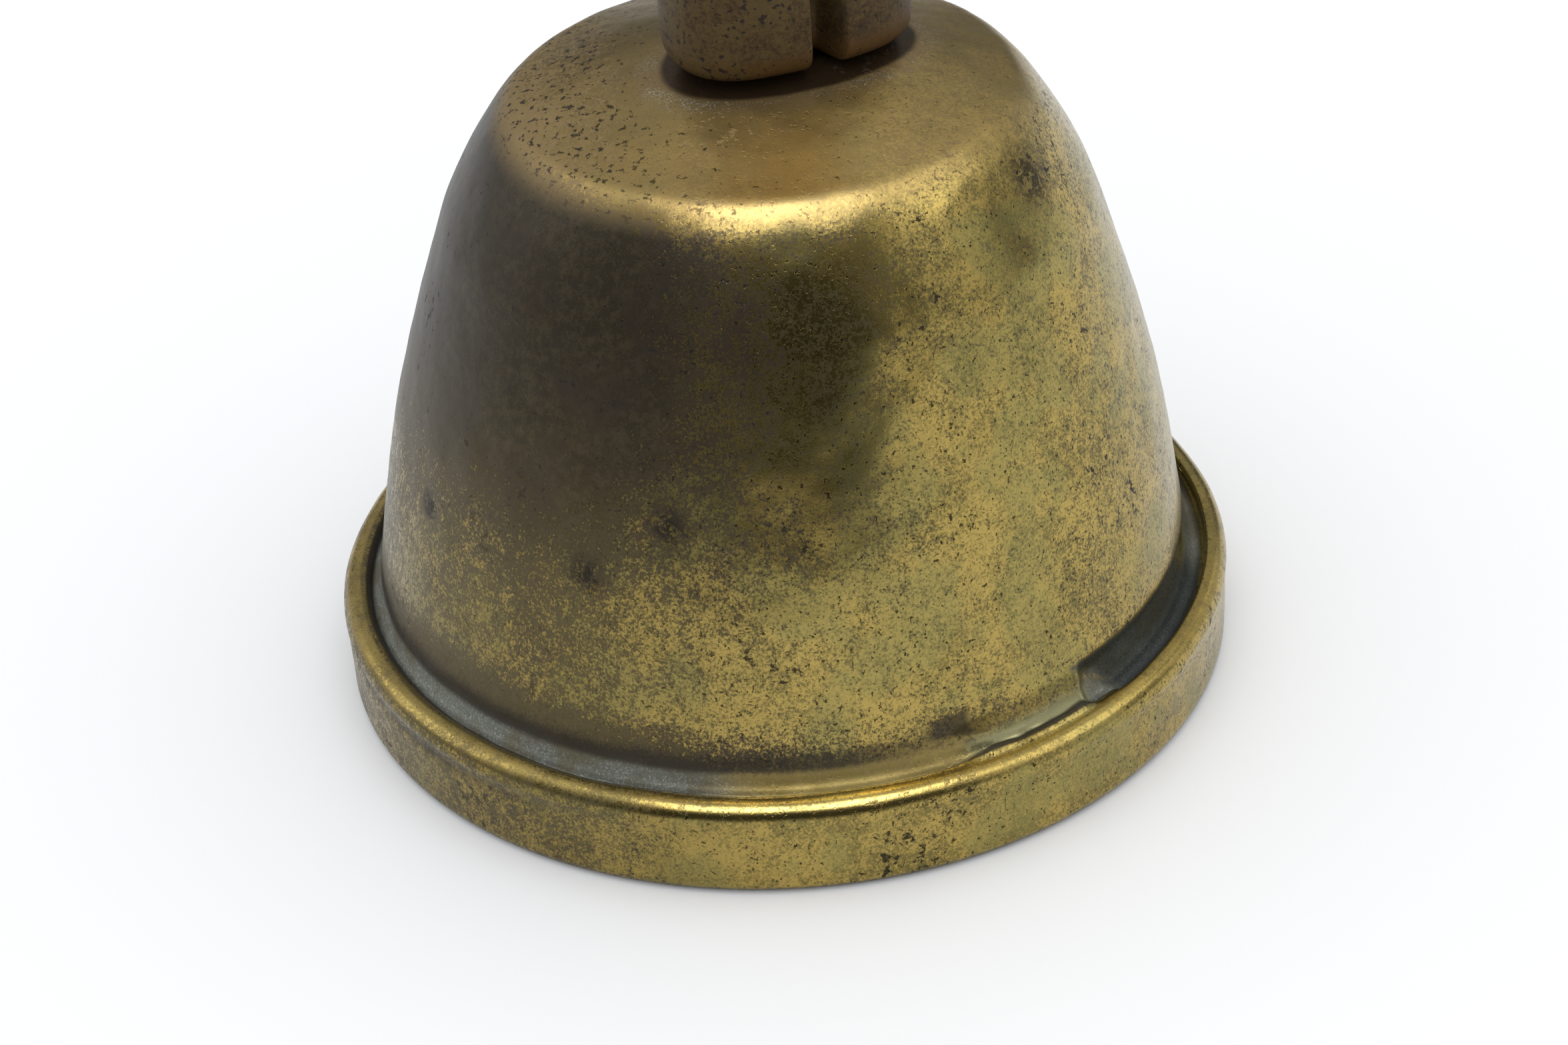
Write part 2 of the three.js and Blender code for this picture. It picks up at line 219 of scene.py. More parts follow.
class Shade:
    """A socket in a node tree. Arithmetic on it adds Math nodes, and node() adds any other node."""

    def __init__(self, tree, socket=None):
        self.tree, self.socket = tree, socket

    def node(self, kind, settings=(), sockets=(), output=0):
        made = self.tree.nodes.new("ShaderNode" + kind)
        for name, value in dict(settings).items():
            setattr(made, name, value)
        for name, value in dict(sockets).items():
            if isinstance(value, Shade):
                self.tree.links.new(value.socket, made.inputs[name])
            else:
                made.inputs[name].default_value = value
        return Shade(self.tree, made.outputs[output] if made.outputs else None)

    def math(self, operation, *values):
        return self.node("Math", {"operation": operation}, dict(enumerate(values)))

    def __add__(self, other):
        return self.math("ADD", self, other)

    def __sub__(self, other):
        return self.math("SUBTRACT", self, other)

    def __mul__(self, other):
        return self.math("MULTIPLY", self, other)

    def __truediv__(self, other):
        return self.math("DIVIDE", self, other)

    def __rsub__(self, other):
        return self.math("SUBTRACT", other, self)

    def __neg__(self):
        return self.math("MULTIPLY", self, -1.0)

    __radd__, __rmul__ = __add__, __mul__

    def root(self):
        return self.math("SQRT", self)

    def rises(self, low, high):
        """0 where this is below low, 1 above high, smooth between. Low above high turns it round."""
        sockets = {"Value": self, "From Min": low, "From Max": high, "To Min": 0.0, "To Max": 1.0}
        if low > high:
            sockets.update({"From Min": high, "From Max": low, "To Min": 1.0, "To Max": 0.0})
        return self.node("MapRange", {"interpolation_type": "SMOOTHSTEP"}, sockets)

    def cloud(self, size, detail=2.0, rough=0.5, twist=0.0):
        """Noise from 0 to 1 over this position, with features of about that size in mm."""
        return self.node("TexNoise", {}, {"Vector": self, "Scale": 1 / (size * MM), "Detail": detail,
                                          "Roughness": rough, "Distortion": twist})

    def shifted(self, x, y, z):
        return self.node("VectorMath", {"operation": "ADD"}, {0: self, 1: (x, y, z)})

    def stretched(self, x, y, z):
        return self.node("VectorMath", {"operation": "MULTIPLY"}, {0: self, 1: (x, y, z)})

    def in_mm(self):
        """The x, y and z of this position, in mm."""
        return [self.node("SeparateXYZ", {}, {0: self}, output=i) / MM for i in range(3)]

    def between(self, first, second):
        """A colour from the first to the second, by this mask."""
        return self.node("Mix", {"data_type": "RGBA"},
                         {0: self, 6: (*first, 1), 7: (*second, 1)}, output=2)

    def tinted(self, amount, colour):
        """This colour mixed with another, by an amount or a mask."""
        colour = colour if isinstance(colour, Shade) else (*colour, 1)
        return self.node("Mix", {"data_type": "RGBA"}, {0: amount, 6: self, 7: colour}, output=2)


def finish_of(name):
    """A new material: its object-space position, and a call that wires up its surface.

    surface() takes the bump's strength and its depth in mm where a height is given.
    """
    material = bpy.data.materials.new(name)
    material.use_nodes = True
    tree = material.node_tree
    tree.nodes.clear()
    start = Shade(tree)
    place = start.node("TexCoord", output=3)

    def surface(colour, roughness, metal=0.0, height=None, strength=0.4, depth=0.05):
        sockets = {"Base Color": colour, "Roughness": roughness, "Metallic": metal,
                   "Specular IOR Level": 0.22}
        if height:
            sockets["Normal"] = start.node("Bump", {}, {"Strength": strength, "Distance": depth * MM,
                                                        "Height": height})
        shader = start.node("BsdfPrincipled", {}, sockets)
        start.node("OutputMaterial", {}, {"Surface": shader})
        return material

    return place, surface


GOLD = (0.45, 0.33, 0.096)
OLIVE = (0.185, 0.150, 0.052)
GREEN_GOLD = (0.270, 0.245, 0.085)
SHADED_BRASS = (0.125, 0.098, 0.036)
BROWN_FILM = (0.0150, 0.0110, 0.0075)
LIGHT_FILM = (0.066, 0.048, 0.026)
PURPLE_FILM = (0.026, 0.017, 0.017)
PIT_BLACK = (0.010, 0.008, 0.007)
SHELF_GREY = (0.140, 0.150, 0.132)
SHELF_PAINTED_GLINT = (0.30, 0.31, 0.28)
PALE_SMEAR = (0.34, 0.33, 0.17)
BLUE_PATINA_AND_SHADE = (0.034, 0.041, 0.038)
CUT_GREY = (0.090, 0.100, 0.090)
OLD_OLIVE = (0.100, 0.078, 0.035)
MATT_CROWN = (0.40, 0.28, 0.115)
CROWN_STAIN = (0.120, 0.070, 0.050)
PALE_GRAIN = (0.50, 0.47, 0.42)
DIRT_AND_SHADE = (0.022, 0.017, 0.011)
SEAT_SHADOW = (0.018, 0.009, 0.006)


def across_foot(x, y):
    """How far a place lies along the width and along the depth of the handle's foot, in mm."""
    x, y = x - foot_place.x, y - foot_place.y
    return (x * math.cos(foot_turn) + y * math.sin(foot_turn),
            y * math.cos(foot_turn) - x * math.sin(foot_turn))


def worn_brass(place, film, gold, olive, grain=0.22, pitting=0.5):
    """Old brass: bright metal under a brown film that breaks up into grains, with spots and pits.

    film says how whole the film is, from 0, rubbed bright, to 1. grain is the size of its grains in
    mm. Returns colour, roughness, metal and height.
    """
    grains = place.shifted(0.013, 0.007, 0.021).cloud(grain, 3.0, 0.8)
    coarse = place.shifted(0.031, 0.017, 0.003).cloud(3.6 * grain, 3.0, 0.65)
    mottle = place.shifted(0.05, 0.02, 0.01).cloud(4.2, 3.0, 0.6)
    speckle = (film + 1.5 * (grains - 0.5) + 0.8 * (coarse - 0.5)).rises(0.27, 0.66)
    clouding = (0.5 * mottle + 0.5 * coarse + 1.2 * (grains - 0.5)).rises(0.34, 0.66)

    # Dark spots are ragged and come in groups. Pits are small, black and deep.
    ragged = place.shifted(0.004, 0.009, 0.002).cloud(0.80, 4.0, 0.66, 0.4)
    groups = place.shifted(0.07, 0.01, 0.05).cloud(7.0, 2.0)
    blots = (ragged + 0.30 * pitting * groups.rises(0.42, 0.70)).rises(0.70, 0.76)
    pits = (place.shifted(0.02, 0.03, 0.04).cloud(0.34, 2.0, 0.6) + 0.10 * pitting).rises(0.68, 0.73)

    # Thin scratches run up and down, a few of them long.
    drawn = place.stretched(1, 1, 0.07).shifted(0.011, 0.002, 0.0).cloud(0.22, 1.0)
    scratches = drawn.rises(0.73, 0.77) * groups.rises(0.60, 0.50)

    colour = clouding.between(gold, olive).tinted(0.45 * groups.rises(0.50, 0.40), GREEN_GOLD)
    film_colour = (0.5 * coarse + 0.5 * grains).rises(0.42, 0.62).between(BROWN_FILM, LIGHT_FILM)
    film_colour = film_colour.tinted(0.6 * groups.rises(0.45, 0.62), PURPLE_FILM)
    colour = colour.tinted(0.95 * speckle, film_colour)
    colour = colour.tinted(0.88 * blots, PIT_BLACK)
    colour = colour.tinted(0.85 * pits, PIT_BLACK)
    colour = colour.tinted(0.45 * scratches, BROWN_FILM)
    roughness = 0.24 + 0.15 * speckle + 0.2 * blots + 0.10 * (grains - 0.5)
    metal = 1 - 0.62 * speckle - 0.3 * blots * (1 - speckle)
    height = 0.55 * coarse + 0.35 * grains - 0.10 * speckle - 0.35 * blots - 0.5 * pits - 0.2 * scratches
    return colour, roughness, metal, height


# Each group of black scale: its centre and its radius in mm.
SCALE_GROUPS = (
    ((-13.8, -25.6, 23.0), 2.6),
    ((-7.8, -26.6, 27.0), 2.4),
    ((19.1, -11.0, 44.3), 4.0),
    ((-26.0, -14.0, 22.0), 2.2),
    ((24.0, 14.0, 32.0), 4.5),
    ((-9.0, 25.0, 30.0), 4.0),
)


def bell_finish():
    place, surface = finish_of("aged_bell_brass")
    x, y, z = place.in_mm()
    out = (x * x + y * y).root()
    bearing = x.math("ARCTAN2", x, -y) * (180 / math.pi)
    fine = place.cloud(0.16, 2.0, 0.7)
    smaller = place.shifted(0.05, 0.02, 0.01).cloud(4.2, 3.0, 0.6)

    # The film is whole on the left and high on the wall, and rubbed away low down and on the crown.
    patches = place.cloud(16, 3.0, 0.55, 0.4)
    left = x.rises(4.0, -18.0)
    high = z.rises(18.0, 38.0)
    low = z.rises(26.0, 12.0)
    crown = z.rises(45.6, 48.2)
    film = 0.25 + 0.30 * left + 0.40 * left * high + 0.16 * high * x.rises(12.0, 2.0) - 0.06 * low
    film = film + z.rises(13.5, 9.8) * z.rises(8.2, 8.8) * (0.10 + 0.26 * bearing.rises(20.0, -5.0))
    film = film - 0.18 * z.rises(7.4, 6.8) * bearing.rises(-30.0, -8.0) * bearing.rises(75.0, 50.0)
    film = film - 0.60 * crown * (0.45 + 0.55 * x.rises(-22.0, -13.0))
    film = film + 0.34 * (patches - 0.5) + 0.3 * (smaller - 0.5)
    colour, roughness, metal, height = worn_brass(place, film, GOLD, OLIVE)
    # Painted shade darkens the brass on the left of the wall, most of all low down.
    colour = colour.tinted(0.42 * left * (1 - 0.75 * high), SHADED_BRASS)
    colour = colour.tinted(0.5 * high * x.rises(9.0, 3.0), BROWN_FILM)

    # Black scale is left in a few ragged groups, and in dull dashes on the left of the crown.
    scale = place.shifted(0.09, 0.03, 0.01).cloud(0.7, 4.0, 0.72, 0.5)
    for spot, size in SCALE_GROUPS:
        away = place.node("VectorMath", {"operation": "DISTANCE"},
                          {0: place, 1: tuple(MM * c for c in spot)}, output=1) / MM
        near = (away + 5.0 * (scale - 0.5) + 3.0 * (smaller - 0.5)).rises(size, 0.2 * size)
        flake = near * (scale + 0.08 * near).rises(0.52, 0.60)
        colour = colour.tinted(0.35 * near, PURPLE_FILM).tinted(0.80 * flake, PIT_BLACK)
        roughness = roughness + 0.12 * flake
        height = height - 0.35 * flake
    dashes = (place.stretched(1, 1, 1.5).shifted(0.02, 0.05, 0.03).cloud(0.62, 3.0, 0.65)
              + 0.09 * x.rises(2.0, -12.0) * z.rises(51.4, 49.5)).rises(0.66, 0.72) * crown
    colour = colour.tinted(0.50 * crown * (1 - dashes), MATT_CROWN)
    colour = colour.tinted(0.62 * dashes, PURPLE_FILM)
    roughness = roughness + 0.12 * crown

    # A purple-brown stain, with pale grains in it, lies on the crown round the foot.
    u, v = across_foot(x, y)
    from_foot = (u * u / (foot_width / 2) ** 2 + v * v / (foot_depth / 2) ** 2).root()
    stain = (from_foot + 0.8 * (smaller - 0.5)).rises(1.30, 1.02) * crown
    grit = (fine + 0.5 * (smaller - 0.5)).rises(0.56, 0.62)
    grit = grit * from_foot.rises(1.05, 1.12) * from_foot.rises(1.34, 1.16)
    colour = colour.tinted(0.40 * stain, CROWN_STAIN)
    # A painted contact shadow darkens the crown right at the foot's edge.
    colour = colour.tinted(0.85 * from_foot.rises(1.09, 1.02) * crown, SEAT_SHADOW)
    colour = colour.tinted(0.55 * grit * crown, PALE_GRAIN)
    metal = metal - 0.25 * stain

    # The cove: a grey shelf on the left, brass in front, a smear of metal, and then a deep dark cut.
    cove = out.rises(33.1, 32.8) * out.rises(31.3, 31.9) * z.rises(9.6, 8.4) * z.rises(5.6, 6.4)
    bare = bearing.rises(-14.0, -4.0) * bearing.rises(26.0, 21.0)
    smear = bearing.rises(20.0, 25.0) * bearing.rises(43.0, 41.0)
    cut = (bearing + 2.2 * (z - foot_height) + 5.0 * (smaller - 0.5)).rises(41.0, 43.5)
    cut = cut * bearing.rises(84.0, 74.0)
    recess = cut * out.rises(33.1, 32.8) * z.rises(10.7, 10.3) * z.rises(5.6, 6.4)
    past = bearing.rises(88.0, 100.0) * bearing.rises(176.0, 160.0)
    # The shelf's lighter grains are painted glints.
    shelf = fine.rises(0.50, 0.70).between(SHELF_GREY, SHELF_PAINTED_GLINT)
    shelf = shelf.tinted(0.55 * smaller.rises(0.45, 0.60), OLD_OLIVE)
    shelf = shelf.tinted(0.75 * bare, GOLD).tinted(0.9 * smear, PALE_SMEAR)
    # The deep cut is a blue-grey patina, darkened to near black with painted shade.
    shelf = shelf.tinted(0.96 * cut, BLUE_PATINA_AND_SHADE).tinted(0.8 * past, OLD_OLIVE)
    colour = colour.tinted(cove * (0.92 - 0.25 * bare), shelf).tinted(0.92 * recess, BLUE_PATINA_AND_SHADE)
    colour = colour.tinted(0.6 * recess * (fine + 0.6 * (smaller - 0.5)).rises(0.50, 0.66), CUT_GREY)
    roughness = roughness + 0.18 * cove * (1 - smear)
    metal = metal * (1 - 0.5 * cove * (1 - 0.7 * bare) * (1 - 0.6 * smear)) * (1 - 0.6 * recess)

    # Dirt and painted shade darken the wall's foot; painted shade darkens the crease and below the bead.
    edge = z + 1.2 * (smaller - 0.5) + 2.2 * (fine - 0.5)
    # Dirt and painted shade, darkest on the left, at the foot of the wall.
    foot_dirt_and_shade = edge.rises(10.6, 9.5) * z.rises(8.2, 8.9) * out.rises(31.0, 31.4)
    foot_dirt_and_shade = foot_dirt_and_shade * (1 - 0.6 * bearing.rises(2.0, 26.0))
    # Painted shade: a dark line in the crease beside the bead.
    crease_shade = out.rises(32.55, 32.70) * out.rises(33.25, 33.02) * z.rises(6.3, 6.8)
    rough_spot = bearing.rises(16.0, 19.0) * bearing.rises(24.5, 22.5)
    rough_spot = rough_spot * edge.rises(11.4, 10.9) * z.rises(9.0, 9.5)
    # A painted contact shadow darkens the rim's lower outer edge.
    rim_contact_shadow = z.rises(0.75, 0.25) * out.rises(33.6, 34.2)
    # Painted shade in the shallow groove below the bead, on the front left.
    below_bead_shade = bearing.rises(-22.0, -50.0) * z.rises(4.7, 5.2) * z.rises(6.3, 5.7)
    below_bead_shade = below_bead_shade * out.rises(34.0, 34.6)
    for mask, amount in ((foot_dirt_and_shade, 0.85), (crease_shade, 0.92), (rough_spot, 0.85), (rim_contact_shadow, 0.85),
                         (below_bead_shade, 0.6)):
        colour = colour.tinted(amount * mask, DIRT_AND_SHADE)
        metal = metal * (1 - 0.6 * mask)
    bead_top = out.rises(33.4, 33.7) * z.rises(7.0, 7.4)
    colour = colour.tinted(0.5 * bead_top * (1 - 0.6 * (smaller + fine - 0.5).rises(0.5, 0.6)), GOLD)
    return surface(colour, roughness, metal, height, 0.35, 0.06)


shell.data.materials.append(bell_finish())
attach(shell, "bell")
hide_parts("bell_shell")

# ---------------------------------------------------------------- handle
# One brass casting. A stout foot, split front and back by a cleft into two lobes, is drawn in to a
# round neck, and above it rise a ring, a pear-shaped grip, a collar and a ball. It is turned a
# little to the right on the crown, and drawn down on it by the stud inside.

handle_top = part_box("handle_casting")[1][2] / MM
foot_bottom, flank_top = 51.9, 57.5
foot_edge = 2.3
cleft_half_width, cleft_share = 1.05, 0.2609
FOOT = (  # height, width, depth, squareness, cleft
    (foot_bottom, foot_width, foot_depth, 2.3, 2.3),
    (53.2, foot_width, foot_depth, 2.3, 2.8),
    (flank_top, foot_width, foot_depth, 2.3, 2.8),
    (60.5, 17.2, 12.2, 2.3, 2.4),
    (63.2, 13.8, 10.8, 2.2, 1.5),
    (66.0, 10.6, 9.4, 2.1, 0.7),
    (68.2, 8.8, 8.5, 2.05, 0.15),
    (70.0, 8.2, 8.2, 2.0, 0.0),
)
ball_radius = 5.4


def through(stops, at):
    """A smooth curve through rows of (position, values...), read at each position in at."""
    stops = np.array(stops, float)
    x, y = stops[:, 0], stops[:, 1:]
    slope = np.gradient(y, x, axis=0)
    i = np.clip(np.searchsorted(x, at) - 1, 0, len(x) - 2)
    gap = (x[i + 1] - x[i])[:, None]
    t = (np.asarray(at) - x[i])[:, None] / gap
    return ((2 * t ** 3 - 3 * t ** 2 + 1) * y[i] + (t ** 3 - 2 * t ** 2 + t) * gap * slope[i]
            + (3 * t ** 2 - 2 * t ** 3) * y[i + 1] + (t ** 3 - t ** 2) * gap * slope[i + 1])


def foot_section(width, depth, squareness, cleft):
    """One level of the foot: a rounded block, its front and back faces dented by the cleft."""
    share = np.sin(np.linspace(-1, 1, 61) * math.pi / 2)
    share = np.unique(np.concatenate([share, np.linspace(-cleft_share, cleft_share, 25)]))
    x = share * width / 2
    face = depth / 2 * (1 - np.abs(share) ** squareness) ** (1 / squareness)
    dip = cleft * np.exp(-((x / cleft_half_width) ** 4))
    front = np.stack([x, dip - face], 1)
    back = np.stack([x, face - dip], 1)[-2:0:-1]
    return np.vstack([front, back])


turned_part = evenly([
    bezier(((4.1, 70.0), (4.0, 71.2), (4.1, 72.2), (4.3, 72.7)), 12),
    arc((4.3, 74.4), 1.7, -80, 80),
    bezier(((4.3, 76.2), (4.3, 79.0), (7.9, 84.5), (7.9, 91.5)), 30),
    bezier(((7.9, 91.5), (7.9, 97.0), (4.1, 101.5), (4.0, 105.2)), 30)[1:],
    arc((4.1, 106.8), 1.5, -75, 75),
    arc((0, handle_top - ball_radius), ball_radius, -52, 89, 40),
], 0.5)
round_steps = np.linspace(0, math.pi / 2, 14)
foot_heights = np.concatenate([foot_bottom + foot_edge * (1 - np.cos(round_steps)),
                               np.linspace(54.5, 69.8, 40)])
foot_rows = through(FOOT, foot_heights)
foot_rows[:14, :2] -= 2 * foot_edge * (1 - np.sin(round_steps))[:, None]
sections = [foot_section(*row) for row in foot_rows]
sides = len(sections[0])
bearing = np.arctan2(sections[-1][:, 1], sections[-1][:, 0])
sections += [r * np.stack([np.cos(bearing), np.sin(bearing)], 1) for r, _ in turned_part]
levels = np.concatenate([foot_heights, turned_part[:, 1]])
skin = np.vstack([np.column_stack([s, np.full(sides, h)]) for s, h in zip(sections, levels)])
cast_skin = 0.07 * wander(skin, 5.0, 21) + 0.03 * wander(skin, 1.6, 22)
skin[:, :2] *= (1 + cast_skin / np.maximum(np.hypot(skin[:, 0], skin[:, 1]), 2))[:, None]
placed = np.column_stack([
    foot_place.x + skin[:, 0] * math.cos(foot_turn) - skin[:, 1] * math.sin(foot_turn),
    foot_place.y + skin[:, 0] * math.sin(foot_turn) + skin[:, 1] * math.cos(foot_turn),
    skin[:, 2],
])

# The foot was filed to sit on the dome, so its underside falls away with it.
dome = bezier(DOME)[::-1]
crown_reach = np.hypot(placed[:, 0] - crown_offset.x, placed[:, 1] - crown_offset.y)
fall = crown_height - np.interp(crown_reach, dome[:, 0], dome[:, 1])
placed[:, 2] -= (fall - 0.2) * step(flank_top, 52.5, placed[:, 2])
placed[:, 2] = np.minimum(placed[:, 2], handle_top)


def capped(points, faces, sides, first, last):
    """The mesh with a fan of triangles over its first ring and its last, each to a middle point."""
    end = len(points) - sides
    faces = faces + [(len(points), (k + 1) % sides, k) for k in range(sides)]
    faces += [(len(points) + 1, end + k, end + (k + 1) % sides) for k in range(sides)]
    return np.vstack([points, first, last]), faces


placed, faces = capped(placed, rings_to_faces(len(levels), sides), sides, placed[:sides].mean(0),
                       [foot_place.x, foot_place.y, handle_top])
handle = mesh_piece("handle_cast", placed * MM, faces)


HANDLE_GOLD = (0.80, 0.49, 0.095)
HANDLE_OLIVE = (0.30, 0.17, 0.034)
REFLECTED_ORANGE_GOLD = (0.95, 0.47, 0.060)
RUBBED_GOLD = (0.95, 0.66, 0.17)
CLEFT_SHADE = (0.020, 0.012, 0.008)


def handle_finish():
    place, surface = finish_of("aged_handle_brass")
    x, y, z = place.in_mm()
    patches = place.shifted(0.01, 0.04, 0.02).cloud(6, 3.0, 0.6, 0.3)
    worn = z.rises(74.0, 84.0) * z.rises(104.0, 96.0)
    u = across_foot(x, y)[0]
    film = 0.6 * (patches - 0.5) - 0.16 + 0.14 * u.rises(-4.0, -9.0) * z.rises(58.0, 53.0) - 0.04 * worn
    colour, roughness, metal, height = worn_brass(place, film, HANDLE_GOLD, HANDLE_OLIVE, 0.26, 0.4)

    # Deep black casting pits, rubbed gold, and a painted orange reflection along the foot's lower edge.
    holes = place.shifted(0.06, 0.02, 0.09).cloud(0.42, 1.5, 0.5)
    holes = (holes + 0.10 * patches.rises(0.45, 0.62)).rises(0.68, 0.72)
    rubbed = (patches + 0.8 * (place.cloud(0.45, 3.0, 0.7) - 0.5)).rises(0.44, 0.60) * (1 - holes)
    colour = colour.tinted(0.75 * rubbed, RUBBED_GOLD)
    colour = colour.tinted(0.95 * holes, PIT_BLACK)
    # A painted reflection of the crown, orange-gold, along the foot's lower edge.
    lower_edge_reflection = z.rises(54.4, 52.8) * patches.rises(0.66, 0.52)
    colour = colour.tinted(0.75 * lower_edge_reflection * (1 - holes), REFLECTED_ORANGE_GOLD)
    # Painted shade darkens the cleft between the lobes.
    cleft = u.math("ABSOLUTE").rises(1.25, 0.8) * z.rises(67.0, 60.0)
    colour = colour.tinted(0.93 * cleft, CLEFT_SHADE)
    roughness = roughness + 0.02 + 0.25 * cleft
    metal = metal * (1 - 0.6 * cleft) - 0.2 * holes
    return surface(colour, roughness, metal, height - 0.9 * holes, 0.5, 0.10)


handle.data.materials.append(handle_finish())
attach(handle, "bell")
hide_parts("handle_casting")

# ---------------------------------------------------------------- crown fittings
# Turned and sawn from brass sheet and bar: a thin disc between the crown and the foot, and under
# the crown a washer and a six-sided nut, which draws the handle down on its stud.

shim_low, shim_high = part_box("crown_shim")
washer_low, washer_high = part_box("crown_washer")
nut_low, nut_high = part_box("crown_nut")

FITTING_GOLD = (0.44, 0.32, 0.12)


def fitting_finish():
    place, surface = finish_of("tarnished_fitting_brass")
    film = 0.45 + 0.5 * (place.cloud(3.0, 3.0) - 0.5)
    return surface(*worn_brass(place, film, FITTING_GOLD, HANDLE_OLIVE, 0.35, 0.6))


fitting_brass = fitting_finish()


def fitting(name, node, section, sides=96, outline=None):
    """A turned ring on the crown's centre line. outline(angle, height) may cut it to another plan."""
    line = evenly(section + section[:1], 0.12)[:-1]
    angles = np.linspace(0, 2 * math.pi, sides, endpoint=False)
    r, h = np.repeat(line[:, 0], sides), np.repeat(line[:, 1], sides)
    a = np.tile(angles, len(line))
    if outline:
        r = np.minimum(r, outline(a, h))
    points = np.stack([crown_offset.x + r * np.cos(a), crown_offset.y + r * np.sin(a), h], 1) * MM
    piece = mesh_piece(name, points, rings_to_faces(len(line), sides, closed=True))
    piece.data.materials.append(fitting_brass)
    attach(piece, "bell")
    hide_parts(node)


def disc_section(low, high, edge):
    """The section of a flat ring with softened outer edges."""
    outer = (high[0] - low[0]) / 2 / MM
    bottom, top = low[2] / MM, high[2] / MM
    return [(stud_hole_radius, bottom), (outer - edge, bottom), (outer, bottom + edge),
            (outer, top - edge), (outer - edge, top), (stud_hole_radius, top)]


fitting("seat_disc", "crown_shim", disc_section(shim_low, shim_high, 0.15))
fitting("crown_washer_disc", "crown_washer", disc_section(washer_low, washer_high, 0.2))

nut_flats = (nut_high[1] - nut_low[1]) / MM
nut_bottom, nut_top = nut_low[2] / MM, nut_high[2] / MM


def six_sided(angle, height):
    """The nut's plan: six flats, with their corners turned off at both faces."""
    half_side = math.pi / 6
    flat = nut_flats / 2 / np.cos((angle + half_side) % (2 * half_side) - half_side)
    from_face = np.minimum(height - nut_bottom, nut_top - height)
    return np.minimum(flat, nut_flats / 2 + 1.7 * from_face + 0.05)


fitting("crown_nut_hex", "crown_nut", disc_section(nut_low, nut_high, 0.05), 144, six_sided)

# ---------------------------------------------------------------- eye bolt, link and clapper rod
# Black iron wire and rod, bent cold. The bolt's stud runs up through the crown into the handle and
# ends below in a bent eye. An oval link hangs in it, and the clapper's rod hangs by a smaller eye.


IRON_BLACK = (0.075, 0.068, 0.064)
RUST_BROWN = (0.17, 0.072, 0.030)


def iron_finish():
    place, surface = finish_of("rusted_iron_wire")
    rust = (place.cloud(1.6, 4.0, 0.62) + 0.3 * (place.cloud(0.4, 2.0) - 0.5)).rises(0.45, 0.62)
    flakes = place.cloud(0.22, 3.0, 0.6)
    return surface(rust.between(IRON_BLACK, RUST_BROWN), 0.42 + 0.35 * rust, 0.85 - 0.7 * rust,
                   flakes + 0.6 * rust, 0.5)


iron_wire = iron_finish()


def bent_wire(name, node, body, path, radii, closed=False, sides=28):
    """Round wire along a path that stays in one upright plane, with a radius for each point."""
    path = np.array(path, float)
    ahead = np.roll(path, -1, 0) - np.roll(path, 1, 0)
    if not closed:
        ahead[0], ahead[-1] = path[1] - path[0], path[-1] - path[-2]
    ahead /= np.linalg.norm(ahead, axis=1)[:, None]
    flat = np.cross(path[1] - path[0], path[len(path) // 2] - path[0])
    for k in range(2, len(path)):
        flat = flat + np.cross(path[k - 1] - path[0], path[k] - path[0])
    across = flat / np.linalg.norm(flat)
    beside = np.cross(ahead, across)
    a = np.linspace(0, 2 * math.pi, sides, endpoint=False)
    ring = np.cos(a)[None, :, None] * across + np.sin(a)[None, :, None] * beside[:, None, :]
    points = (path[:, None, :] + np.array(radii)[:, None, None] * ring).reshape(-1, 3)
    faces = rings_to_faces(len(path), sides, closed)
    if not closed:
        points, faces = capped(points, faces, sides, path[0], path[-1])
    points = points + np.array(crown_offset)
    piece = mesh_piece(name, points * MM, faces)
    piece.data.materials.append(iron_wire)
    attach(piece, body)
    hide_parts(node)


def eyed_rod(start_height, shaft_radius, eye_height, eye_radius, wire_radius):
    """A rod drawn down to wire and bent into an eye at its lower end or, turned over, its upper."""
    side = 1 if start_height > eye_height else -1
    neck_length, set_over = 1.6, 0.35 * eye_radius
    neck = eye_height + side * (eye_radius + neck_length)
    straight = [(0, 0, h) for h in np.linspace(start_height, neck, 40)]
    join = [(-set_over * math.sin(t) ** 2, 0, neck - 0.62 * side * neck_length * t / (math.pi / 2))
            for t in np.linspace(0, math.pi / 2, 8)[1:]]
    turned = np.radians(np.linspace(112, 430, 56))
    loop = [(eye_radius * math.cos(t), 0, eye_height + side * eye_radius * math.sin(t)) for t in turned]
    path = straight + join + loop
    run = np.arange(len(path))
    radii = np.interp(run, [0, 1.5, 36, 44],
                      [shaft_radius * 0.85, shaft_radius, shaft_radius, wire_radius])
    return path, radii


bolt_low, bolt_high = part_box("hanger_eye_bolt")
stud_radius, bolt_wire, bolt_eye = 1.9, 0.85, 2.3
bolt_eye_height = bolt_low[2] / MM + bolt_eye + bolt_wire
path, radii = eyed_rod(bolt_high[2] / MM, stud_radius, bolt_eye_height, bolt_eye, bolt_wire)
bent_wire("eye_bolt", "hanger_eye_bolt", "bell", path, radii)

link_low, link_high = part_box("suspension_link")
link_wire = 0.8
link_bend = (link_high[1] - link_low[1]) / 2 / MM - link_wire
upper = link_high[2] / MM - link_wire - link_bend
lower = link_low[2] / MM + link_wire + link_bend
oval = []
for side, near, far in ((1, upper, lower), (-1, lower, upper)):
    half_turn = [side * link_bend * np.array((0, math.cos(t), math.sin(t)))
                 for t in np.linspace(0, math.pi, 33)]
    oval += [bend + (0, 0, near) for bend in half_turn]
    oval += [(0, -side * link_bend, h) for h in np.linspace(near, far, 8)[1:-1]]
bent_wire("wire_link", "suspension_link", "link", oval, [link_wire] * len(oval), closed=True)

